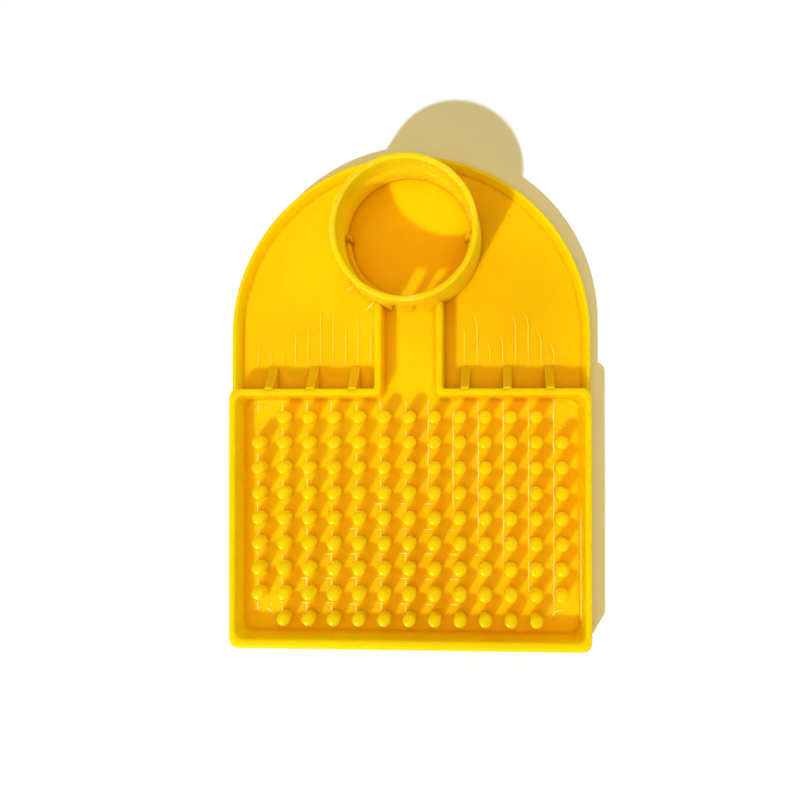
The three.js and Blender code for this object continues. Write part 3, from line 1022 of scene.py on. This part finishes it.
@dataclass
class BottleSocket(Assembly):
    """Tall round socket for the neck of the bottle, with the outlet window in its front."""

    rim: float = 24.5
    bore_foot: float = 14.8
    bore_steps: tuple = ((14.8, 3.0), (14.83, 7.0), (14.85, 12.8), (14.99, 13.0))
    bore_mouth: float = 15.0
    outer_rim: float = 16.3
    upper_level: float = 20.0
    lower_levels: tuple = (9.0, 4.0)
    mouth_round: float = 0.3
    outer_round: float = 0.22
    edge_round: float = 0.18
    around: int = 132
    across_window: int = 14

    def section(self) -> np.ndarray:
        """Section of the wall, up inside, past a small ledge, and down outside.

        Returns:
            Array (points, 2) of radius and height, a loop.
        """
        top, window, upper = PLAN.plate_top, PLAN.window_top, self.upper_level
        mouth, edge = self.mouth_round, self.outer_round
        spread = (PLAN.socket_foot - self.outer_rim) / (self.rim - top)
        return np.concatenate([
            [(self.bore_foot, PLAN.under), *self.bore_steps],
            [(self.bore_mouth, window), (self.bore_mouth, upper)],
            rounding((self.bore_mouth, self.rim), (mouth, -mouth), FACE_TO_TOP, 6),
            rounding((self.outer_rim, self.rim), (-edge, -edge), TOP_TO_FACE, 5),
            [(self.outer_rim + spread * (self.rim - z), z)
             for z in (upper, window, *self.lower_levels)],
            [(PLAN.socket_foot, top), (PLAN.socket_foot, PLAN.under)]])

    def build(self) -> None:
        """Turns the section round the axis, counted from the front, and opens the window.

        The columns beside the window stand at asin(w / r), so its jambs are flat at x = w and
        x = -w.
        """
        section = self.section()
        edge = np.arcsin(PLAN.window_half / section[:, :1])
        opened = edge * np.linspace(-1, 1, self.across_window, endpoint=False)
        closed = edge + (2 * math.pi - 2 * edge) * np.linspace(0, 1, self.around, endpoint=False)
        turn = np.concatenate([opened, closed], 1)
        rows, columns = turn.shape
        quads = grid_faces(rows, columns, True, True)
        low = section[:, 1] <= PLAN.window_top
        row, column = quads[:, 0] // columns, quads[:, 0] % columns
        cut = low[row] & low[(row + 1) % rows] & (column < self.across_window)
        below = np.flatnonzero(low)
        up, down = below[below < rows // 2], below[below >= rows // 2]
        left = below * columns
        right = left + self.across_window
        head, sill = (edge_row * columns + np.arange(self.across_window)
                      for edge_row in (up[-1], down[0]))
        lintel = np.stack([head, sill, sill + 1, head + 1], 1)
        faces = [*quads[~cut].tolist(), left[::-1].tolist(), right.tolist(), *lintel.tolist()]
        points = turned(section, turn - math.pi / 2) + (0, PLAN.socket_centre, 0)
        piece = moulding("bottle_socket", [(points.reshape(-1, 3), faces)], sharp=35.0)
        soften(piece, self.edge_round, segments=2)
        dress(piece, self.finishes.socket, "socket_base", "socket_tube")


@dataclass
class BottleSeat(Assembly):
    """Half ring low inside the front of the socket that the mouth of the bottle rests on."""

    inner: float = 13.7
    outer: float = 15.6
    top: float = 7.0
    lip: float = 0.25
    nub_radius: float = 0.95
    nub_inset: float = 14.15
    nub_around: int = 20
    steps: int = 40

    def build(self) -> None:
        """Turns the seat's section through each quarter beside the window and adds the end nubs."""
        inside = rounding((self.inner, self.top), (self.lip, -self.lip), FACE_TO_TOP, 5)
        section = np.concatenate([[(self.inner, PLAN.under)], inside,
                                  [(self.outer, self.top), (self.outer, PLAN.under)]])
        edge = np.arcsin(PLAN.window_half / section[:, :1])
        turn = edge + (math.pi / 2 - edge) * np.linspace(0, 1, self.steps)
        shells = []
        for side in (-1, 1):
            half = turned(section, side * turn - math.pi / 2) + (0, PLAN.socket_centre, 0)
            shells += [rail_sweep(half), self._nub(side)]
        dress(moulding("bottle_seat", shells), self.finishes.walls)

    def _nub(self, side: int) -> tuple:
        """Rounded upright nub at one end of the seat.

        Args:
            side: -1 for the left end, 1 for the right.

        Returns:
            Points and faces.
        """
        rounded = rounding((self.nub_radius, self.top), (-self.lip, -self.lip), FACE_TO_TOP, 4)
        section = np.concatenate([[(self.nub_radius, PLAN.under)], rounded])
        centre = np.array([side * self.nub_inset, PLAN.socket_centre, 0.0])
        return ring_stack(turned(section, all_round(self.nub_around)) + centre,
                          centre + (0, 0, self.top), centre + (0, 0, PLAN.under))


@dataclass
class WindowPost(Assembly):
    """Upright in the middle of the window that holds back the bottle's cap and debris."""

    width: float = 2.0
    depth: float = 1.4
    setback: float = 0.5
    corner_round: float = 0.4
    into_lintel: float = 0.3

    def build(self) -> None:
        """Makes the post as two stacked rectangles whose corners are quarter circles."""
        front = PLAN.socket_centre - PLAN.socket_foot + self.setback
        middle = np.array([0.0, front + self.depth / 2])
        straight = np.array([self.width, self.depth]) / 2 - self.corner_round
        sides = np.array([(1, 1), (-1, 1), (-1, -1), (1, -1)])[:, None] * straight
        turn = np.stack([arc(90 * k, 90 * k + 90, 6) for k in range(4)])
        bend = self.corner_round * np.stack([np.cos(turn), np.sin(turn)], -1)
        plan = (sides + bend).reshape(-1, 2)
        low, high = PLAN.under, PLAN.window_top + self.into_lintel
        rings = np.stack([lifted(plan + middle, low), lifted(plan + middle, high)])
        shell = ring_stack(rings, np.array([*middle, high]), np.array([*middle, low]))
        dress(moulding("window_post", [shell]), self.finishes.plastic, "outlet_post")


@dataclass
class BraceRibs(Assembly):
    """Six sloping ribs that brace the tray's back wall on the deck."""

    first: float = 13.05
    spacing: float = 9.8
    each_side: int = 3
    top: float = 8.9
    flat: float = 0.25
    reach: float = 5.4
    into_wall: float = 0.5
    into_deck: float = 0.3
    foot_thickness: float = 2.2
    top_thickness: float = 1.9
    edge_round: float = 0.15

    def build(self) -> None:
        """Makes each rib as two side outlines, leaning together towards the top."""
        back, low = PLAN.tray_back, PLAN.under
        outline = np.array([
            (back - self.into_wall, low), (back + self.reach + self.into_deck, low),
            (back + self.reach, PLAN.plate_top),
            (back + self.flat, self.top), (back - self.into_wall, self.top)])
        share = (outline[:, 1] - low) / (self.top - low)
        half = 0.5 * (self.foot_thickness + share * (self.top_thickness - self.foot_thickness))
        count = len(outline)
        faces = [list(range(count)), list(range(2 * count - 1, count - 1, -1))]
        faces += [[i + count, (i + 1) % count + count, (i + 1) % count, i] for i in range(count)]
        places = self.first + self.spacing * np.arange(self.each_side)
        for number, x in enumerate(np.concatenate([-places[::-1], places]), 1):
            sides = [np.column_stack([x + side * half, outline]) for side in (-1, 1)]
            piece = moulding(f"brace_rib_{number}", [(np.concatenate(sides), faces)])
            soften(piece, self.edge_round, segments=3)
            dress(piece, self.finishes.ribs, f"gusset_rib_{number}")


@dataclass
class ToolMarks(Assembly):
    """Hairline ridges that the mould's cutter paths and ejector pins left on the floors.

    The right half of the tray has one long line left of each column of pegs, the left half a
    stroke behind each peg, and the middle a dash left of some pegs. A line at the foot of the
    right wall has its X, its ends, its sway and its period. An arc has its middle, its radius
    and two angles in degrees.
    """

    seed: int = 11
    width: float = 0.24
    faint_width: float = 0.34
    circle_width: float = 0.2
    height: float = 0.06
    end_turn: float = 0.12
    taper_power: float = 0.35
    sides: int = 6
    step: float = 0.6
    fewest_stations: int = 6
    arc_stations: int = 14
    dash_stations: int = 8
    ripple_share: float = 0.4
    ripple_pace: float = 2.7
    line_first_row: int = 5
    line_offset: float = 1.7
    line_sway: float = 0.08
    line_end: float = 0.5
    line_overrun: float = 0.3
    stroke_offset: tuple = (1.15, 0.9)
    stroke_length: tuple = (1.6, 2.6)
    stroke_sway: float = 0.03
    stroke_period: float = 3.0
    stroke_jitter: float = 0.1
    back_stroke: float = 3.2
    dash_cells: tuple = ((1, 9), (2, 9), (3, 10), (4, 9), (5, 8))
    dash_offset: float = 2.8
    dash_length: tuple = (1.9, 2.5)
    dash_jitter: float = 0.15
    wall_line: tuple = (39.92, -51.5, -24.5, 0.01, 9.0)
    wall_level: float = 3.0
    deck_pitch: float = 3.0
    deck_start: float = 8.7
    deck_sway: float = 0.02
    left_first: float = -9.5
    left_ends: tuple = (17.6, 20.2, 17.5, 21.0, 21.6, 17.6, 16.7, 11.2, 12.4, 12.8)
    right_first: float = 12.8
    right_ends: tuple = (18.6, 20.2, 14.5, 15.8, 20.4, 20.6, 16.4, 13.5)
    curl: float = 0.8
    curl_length: float = 3.0
    scratches: tuple = (((-10.6, 21.6), (-7.8, 24.7), 8), ((-15.2, 26.4), (-13.7, 27.5), 6))
    front_arcs: tuple = (
        (-35.4, -51.65, 2.6, 25, 70), (-35.4, -51.65, 2.6, 95, 160), (-34.0, -48.65, 0.8, 0, 60),
        (35.4, -51.65, 2.6, 10, 60), (35.4, -51.65, 2.6, 75, 165), (-1.1, -46.3, 0.9, 20, 160))
    back_arcs: tuple = (
        (-35.4, -3.65, 2.6, 30, 210), (-35.4, -3.65, 2.6, 210, 390),
        (35.4, -3.65, 2.6, 30, 210), (35.4, -3.65, 2.6, 210, 390))

    def ridge(self, path: np.ndarray, width: float, level: float = PLAN.plate_top) -> tuple:
        """Closed hairline ridge with a half-round section along a plan path.

        The section is an ellipse of the ridge's width and twice its height, centred on the floor,
        thinning to a point at both ends.

        Args:
            path: Array (stations, 2).
            width: Width of the ridge.
            level: Height of the surface that it lies on.

        Returns:
            Points and faces.
        """
        ahead = np.gradient(path, axis=0)
        ahead /= np.linalg.norm(ahead, axis=1)[:, None]
        side = np.stack([-ahead[:, 1], ahead[:, 0]], 1)
        along = np.linspace(self.end_turn, math.pi - self.end_turn, len(path))
        taper = np.sin(along) ** self.taper_power
        turn = all_round(self.sides)[:, None]
        plan = path + (np.cos(turn) * taper * width / 2)[..., None] * side
        height = level + np.sin(turn) * taper * self.height
        return rail_sweep(np.concatenate([plan, height[..., None]], -1))

    def wavy(self, x: float, start: float, end: float, sway: float, period: float,
             rng: np.random.Generator) -> np.ndarray:
        """Plan path along Y that sways: a sine of the given period and a faster, fainter one.

        Args:
            x: Where the path lies.
            start: Where it starts.
            end: Where it ends.
            sway: How far it sways.
            period: Length of one sway.
            rng: Seeded source of the phases.

        Returns:
            Array (stations, 2).
        """
        stations = max(self.fewest_stations, int((end - start) / self.step))
        y = np.linspace(start, end, stations)
        p, q = rng.uniform(0, 2 * math.pi, 2)
        turn = 2 * math.pi * y / period
        ripple = self.ripple_share * np.sin(self.ripple_pace * turn + q)
        return np.stack([x + sway * (np.sin(turn + p) + ripple), y], 1)

    def circle(self, x: float, y: float, radius: float, first: float, last: float) -> np.ndarray:
        """Plan path of part of a circle round (x, y), from a first to a last angle in degrees."""
        turn = arc(first, last, self.arc_stations)
        return np.stack([x + radius * np.cos(turn), y + radius * np.sin(turn)], 1)

    def build(self) -> None:
        """Lays all the ridges."""
        rng = np.random.default_rng(self.seed)
        paths = self.tray_lines(rng) + [self.circle(*place) for place in self.front_arcs]
        paths += [np.linspace(*ends) for ends in self.scratches]
        shells = [self.ridge(path, self.width) for path in paths]
        shells.append(self.ridge(self.wavy(*self.wall_line, rng), self.width, self.wall_level))
        bright = sum(len(faces) for _, faces in shells)
        shells += [self.ridge(path, self.faint_width) for path in self.deck_lines(rng)]
        shells += [self.ridge(self.circle(*place), self.circle_width) for place in self.back_arcs]
        # The ridges are real; their pale finishes are painted highlight for the glint along each
        # ridge
        piece = dress(moulding("tool_marks", shells), self.finishes.lines)
        repaint(piece, self.finishes.faint_lines, bright)

    def tray_lines(self, rng: np.random.Generator) -> list:
        """Cutter paths among the pegs: long lines, then strokes, then dashes.

        Args:
            rng: Seeded source of their sway and lengths.

        Returns:
            Plan paths.
        """
        columns, rows, half = PLAN.columns, PLAN.rows, PLAN.peg_columns // 2
        paths = []
        for x, y in zip(columns[half + 1:], rows[self.line_first_row::-1]):
            paths.append(self.wavy(x - self.line_offset, y + self.line_overrun, self.line_end,
                                   self.line_sway, PLAN.peg_pitch, rng))
        left, behind = self.stroke_offset
        for x in columns[:half + 1] - left:
            for y in rows + behind:
                length = rng.uniform(*self.stroke_length) if y < rows[-1] else self.back_stroke
                paths.append(self.wavy(x + rng.uniform(-self.stroke_jitter, self.stroke_jitter),
                                       y, y + length, self.stroke_sway, self.stroke_period, rng))
        for y, (first, last) in zip(rows + PLAN.peg_pitch / 2, self.dash_cells):
            for x in columns[first:last] - self.dash_offset:
                level = y + rng.uniform(-self.dash_jitter, self.dash_jitter)
                end = x + rng.uniform(*self.dash_length)
                paths.append(np.linspace((x, level), (end, level), self.dash_stations))
        return paths

    def deck_lines(self, rng: np.random.Generator) -> list:
        """Closer cutter paths on both decks; those on the right curl inwards at their far ends.

        Args:
            rng: Seeded source of the sway.

        Returns:
            Plan paths.
        """
        paths = []
        for side, first, ends in ((-1, self.left_first, self.left_ends),
                                  (1, self.right_first, self.right_ends)):
            for number, end in enumerate(ends):
                x = first + side * number * self.deck_pitch
                path = self.wavy(x, self.deck_start, end, self.deck_sway, PLAN.peg_pitch, rng)
                if side > 0:
                    bend = np.clip((path[:, 1] - end) / self.curl_length + 1, 0, 1)
                    path[:, 0] -= self.curl * bend ** 2
                paths.append(path)
        return paths


@dataclass
class BoreScratchesAndGlints(Assembly):
    """Pale scratches on the bore's back wall, partly real scratches and partly painted glints: place
    along X, height, length and breadth.
    """

    places: tuple = ((5.5, 19.0, 1.9, 1.0), (4.1, 19.8, 0.9, 1.1), (7.1, 18.5, 1.1, 0.9),
                     (9.9, 18.6, 0.9, 1.2), (-4.5, 21.0, 0.6, 0.9), (2.3, 17.2, 0.7, 0.8),
                     (0.3, 21.2, 0.5, 0.9), (2.9, 23.4, 0.7, 1.0))
    bore: float = 15.0
    thickness: float = 0.07
    bands: int = 4
    around: int = 12

    def build(self) -> None:
        """Makes each scratch as a flat ellipsoid half sunk in the wall, at y = sqrt(r^2 - x^2)."""
        shells = []
        for x, z, length, breadth in self.places:
            out = np.array([x, math.sqrt(self.bore ** 2 - x ** 2), 0.0]) / self.bore
            along = np.array([out[1], -out[0], 0.0])
            middle = out * self.bore + (0.0, PLAN.socket_centre, z)
            axes = np.array([along * length / 2, (0.0, 0.0, breadth / 2), -self.thickness * out])
            shells.append(ellipsoid(middle, axes, self.bands, self.around))
        dress(moulding("bore_scratches_and_glints", shells), self.finishes.lines)


@dataclass
class CarbonSpecks(Assembly):
    """A few burnt grains that lie in the skin of the moulding: place in X, Y and Z, and radius."""

    places: tuple = ((-24.6, 6.4, 1.5, 0.17), (23.4, 43.8, 1.5, 0.15), (25.3, -9.6, 1.5, 0.14),
                     (-19.5, -26.2, 1.5, 0.15), (-32.2, -30.6, 1.5, 0.12), (41.3, 10.0, 5.2, 0.1))
    breadth_share: float = 0.8
    thickness: float = 0.05
    bands: int = 5
    around: int = 10

    def build(self) -> None:
        """Makes each grain as a flat ellipsoid half sunk in the surface."""
        shells = []
        for x, y, level, radius in self.places:
            axes = np.diag([radius, radius * self.breadth_share, self.thickness])
            middle = np.array([x, y, level])
            shells.append(ellipsoid(middle, axes, self.bands, self.around))
        dress(moulding("carbon_specks", shells), self.finishes.specks)


# Studio


@dataclass
class Studio:
    """White floor, a sun lamp, a soft box overhead, an even surround and the camera.

    Levels are red, green and blue on a level white surface. Sizes are in metres, the camera's
    place is in millimetres and its turns are radians about Z, X and Y.
    """

    floor_half: float = 3.0
    floor_gap: float = 0.00005
    sun_path: tuple = (0.43, 0.72, -1.0)
    sun_level: tuple = (0.46, 0.54, 0.80)
    sun_spread_degrees: float = 1.6
    surround_level: tuple = (0.33, 0.23, 0.12)
    box_level: tuple = (0.35, 0.27, 0.12)
    box_height: float = 6.0
    box_radius: float = 2.4
    camera_place: tuple = (19.044, -2.331, 285.295)
    camera_turns: tuple = (-0.0016, 0.0094, 0.0757)
    lens: float = 54.0
    sensor: float = 36.0
    clip: tuple = (0.01, 20.0)

    def floor(self) -> None:
        """Makes the floor just under the object."""
        corners = np.array([(-1, -1), (1, -1), (1, 1), (-1, 1)]) * self.floor_half
        mesh = bpy.data.meshes.new("floor")
        mesh.from_pydata(lifted(corners, -self.floor_gap).tolist(), [], [(0, 1, 2, 3)])
        mesh.materials.append(WhiteFloor().build())
        made = placed("floor", mesh)

    def lamp(self, name: str, kind: str, level: tuple, power: float) -> Piece:
        """Makes a lamp.

        Args:
            name: Its name.
            kind: Blender's name of its type.
            level: Light that it gives on the object.
            power: Energy that it needs for a level of 1.

        Returns:
            The lamp.
        """
        data = bpy.data.lights.new(name, kind)
        data.energy = power * max(level)
        data.color = tuple(v / max(level) for v in level)
        return placed(name, data)

    def sun(self) -> None:
        """Makes the sun, whose power is pi over the cosine of its slant."""
        path = Vector(self.sun_path).normalized()
        made = self.lamp("sun", "SUN", self.sun_level, math.pi / -path.z)
        made.data.angle = math.radians(self.sun_spread_degrees)
        made.rotation_euler = path.to_track_quat("-Z", "Y").to_euler()

    def soft_box(self) -> None:
        """Makes the round soft box straight above the object.

        Its level on a white surface below is L sin(h)^2, with L its own brightness and h the half
        angle that it fills, and its power is pi A L for an area A.
        """
        filled = math.sin(math.atan2(self.box_radius, self.box_height)) ** 2
        area = math.pi * self.box_radius ** 2
        made = self.lamp("soft_box", "AREA", self.box_level, math.pi * area / filled)
        made.data.shape, made.data.size = "DISK", 2 * self.box_radius
        made.location = (0, 0, self.box_height)

    def surround(self) -> None:
        """Even light from all round; the camera and mirrors see it as plain white."""
        world = bpy.data.worlds.new("surround")
        bpy.context.scene.world = world
        world.use_nodes = True
        tree = world.node_tree
        tree.nodes.clear()
        level = max(self.surround_level)
        light = add_node(tree, "ShaderNodeBackground", {
            "Color": (*(v / level for v in self.surround_level), 1.0), "Strength": level})
        seen = add_node(tree, "ShaderNodeBackground", {"Color": (1, 1, 1, 1), "Strength": 1.0})
        rays = add_node(tree, "ShaderNodeLightPath").outputs
        direct = rays["Is Camera Ray"]
        for kind in ("Is Glossy Ray", "Is Transmission Ray"):
            direct = add_node(tree, "ShaderNodeMath", {0: direct, 1: rays[kind]},
                              operation="MAXIMUM").outputs[0]
        mixed = add_node(tree, "ShaderNodeMixShader",
                         {0: direct, 1: light.outputs[0], 2: seen.outputs[0]})
        add_node(tree, "ShaderNodeOutputWorld", {"Surface": mixed.outputs[0]})

    def camera(self) -> None:
        """Makes the camera, almost straight above the object and a little to its right."""
        data = bpy.data.cameras.new("camera")
        data.lens, data.sensor_width = self.lens, self.sensor
        data.clip_start, data.clip_end = self.clip
        turn = Matrix.Identity(4)
        for angle, axis in zip(self.camera_turns, "ZXY"):
            turn = turn @ Matrix.Rotation(angle, 4, axis)
        made = placed("camera", data)
        made.matrix_world = Matrix.Translation(Vector(self.camera_place) * MM) @ turn
        bpy.context.scene.camera = made

    def build(self) -> None:
        """Sets up all of it."""
        self.camera()
        self.floor()
        self.sun()
        self.soft_box()
        self.surround()
        bpy.context.scene.view_settings.view_transform = "Standard"


def main() -> None:
    """Builds the studio and every piece, in order."""
    logging.basicConfig(level=logging.INFO, format="%(name)s: %(message)s")
    Studio().build()
    finishes = Finishes.build()
    for assembly in (Basin, Deck, BottleSocket, BottleSeat, WindowPost,
                     BraceRibs, ToolMarks, BoreScratchesAndGlints, CarbonSpecks):
        assembly(finishes).build()


if __name__ == "__main__":
    main()
